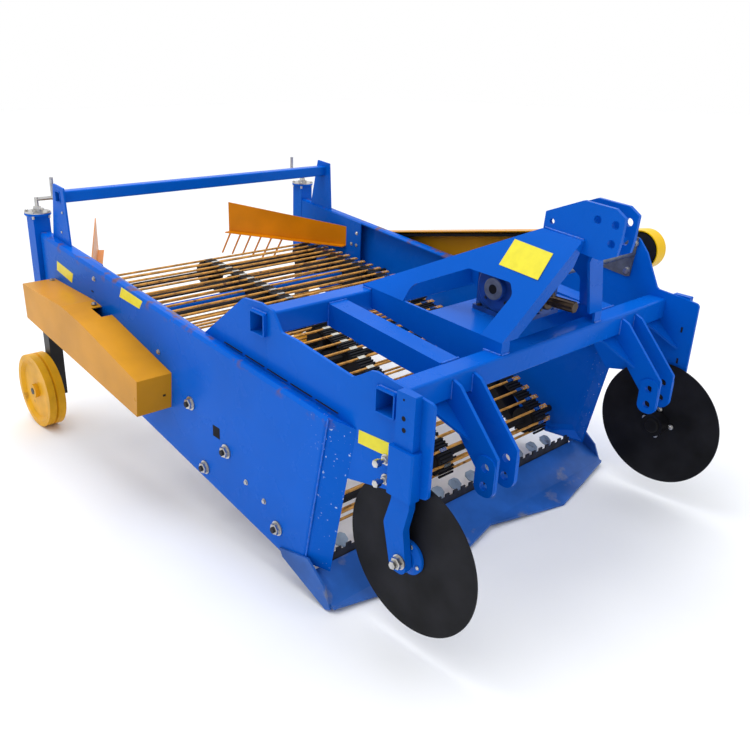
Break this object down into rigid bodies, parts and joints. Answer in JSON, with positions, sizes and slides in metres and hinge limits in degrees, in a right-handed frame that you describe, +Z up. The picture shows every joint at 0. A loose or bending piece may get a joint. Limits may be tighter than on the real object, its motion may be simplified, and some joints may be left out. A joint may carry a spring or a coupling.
{
  "type": "potato harvester",
  "caption": "Tractor-mounted two-row potato digger: share, rod webs between plate walls, disc coulters, three-point hitch, belt drive and height-adjustable rear wheels.",
  "frame": {"origin": "middle of the machine's box, on the ground it stands on", "axes": "+X to the machine's right as seen from the tractor looking back, +Y rearwards, +Z up"},
  "size_m": [1.824, 2.9102, 1.2942],
  "materials": {
    "blue_paint": "gloss",
    "ochre_guard": "gloss",
    "yellow_paint": "gloss",
    "deflector_paint": "gloss",
    "belt_rubber": "matte",
    "rod_steel": "lightly rusted",
    "zinc_steel": "zinc plated",
    "black_paint": "satin",
    "disc_steel": "blackened",
    "web_rubber": "matte",
    "bright_shaft": "machined",
    "pulley_iron": "matte",
    "share_steel": "gloss"
  },
  "bodies": {
    "frame": {"front_crossbar": "blue_paint", "rear_crossbar": "blue_paint", "frame_beams": "blue_paint", "top_clevis": "blue_paint", "gearbox": "blue_paint", "gearbox_mount": "blue_paint", "input_stub": "bright_shaft", "cross_shaft_housing": "blue_paint", "drive_shaft": "bright_shaft", "belt_pulley_front": "pulley_iron", "belt_pulley_rear": "pulley_iron", "drive_belt": "belt_rubber", "belt_guard": "ochre_guard", "share": "blue_paint", "share_angle": "share_steel", "share_fingers": "share_steel", "front_web": "rod_steel", "rear_web": "rod_steel", "front_web_rollers": "web_rubber", "rear_web_rollers": "web_rubber", "support_rollers": "web_rubber", "cross_tubes": "blue_paint", "chain_guard": "ochre_guard", "rear_stay": "blue_paint", "hitch_plate_left": "blue_paint", "hitch_plate_right": "blue_paint", "saddle_side_left": "blue_paint", "saddle_side_right": "blue_paint", "mast_left": "blue_paint", "mast_right": "blue_paint", "lower_clevis_left": "blue_paint", "lower_clevis_right": "blue_paint", "side_wall_left": "blue_paint", "side_wall_right": "blue_paint", "share_cheek_left": "blue_paint", "share_cheek_right": "blue_paint", "rear_post_left": "blue_paint", "rear_post_right": "blue_paint", "jack_crank_left": "zinc_steel", "jack_crank_right": "zinc_steel", "rear_upright_left": "blue_paint", "rear_upright_right": "blue_paint", "deflector_left": "deflector_paint", "deflector_right": "deflector_paint", "coulter_shank_left": "blue_paint", "coulter_shank_right": "blue_paint"},
    "wheel_strut_left": {"wheel_strut_left": "black_paint"},
    "wheel_strut_right": {"wheel_strut_right": "black_paint"},
    "wheel_left": {"wheel_left": "yellow_paint"},
    "wheel_right": {"wheel_right": "yellow_paint"},
    "coulter_disc_left": {"coulter_disc_left": "disc_steel"},
    "coulter_disc_right": {"coulter_disc_right": "disc_steel"}
  },
  "joints": [
    {"name": "strut_slide_left", "type": "slide", "parent": "frame", "child": "wheel_strut_left", "axis": [0, -0.0507, 0.9987], "range_m": [-0.1, 0.08]},
    {"name": "wheel_spin_left", "type": "hinge", "parent": "wheel_strut_left", "child": "wheel_left", "pos_m": [-0.828, 1.19302, 0.18244], "axis": [1, 0, 0], "continuous": true},
    {"name": "disc_spin_left", "type": "hinge", "parent": "frame", "child": "coulter_disc_left", "pos_m": [-0.7, -1.20015, 0.32225], "axis": [1, 0, 0], "continuous": true},
    {"name": "strut_slide_right", "type": "slide", "parent": "frame", "child": "wheel_strut_right", "axis": [0, -0.0507, 0.9987], "range_m": [-0.1, 0.08]},
    {"name": "wheel_spin_right", "type": "hinge", "parent": "wheel_strut_right", "child": "wheel_right", "pos_m": [0.864, 1.19302, 0.18244], "axis": [1, 0, 0], "continuous": true},
    {"name": "disc_spin_right", "type": "hinge", "parent": "frame", "child": "coulter_disc_right", "pos_m": [0.736, -1.20015, 0.32225], "axis": [1, 0, 0], "continuous": true}
  ]
}
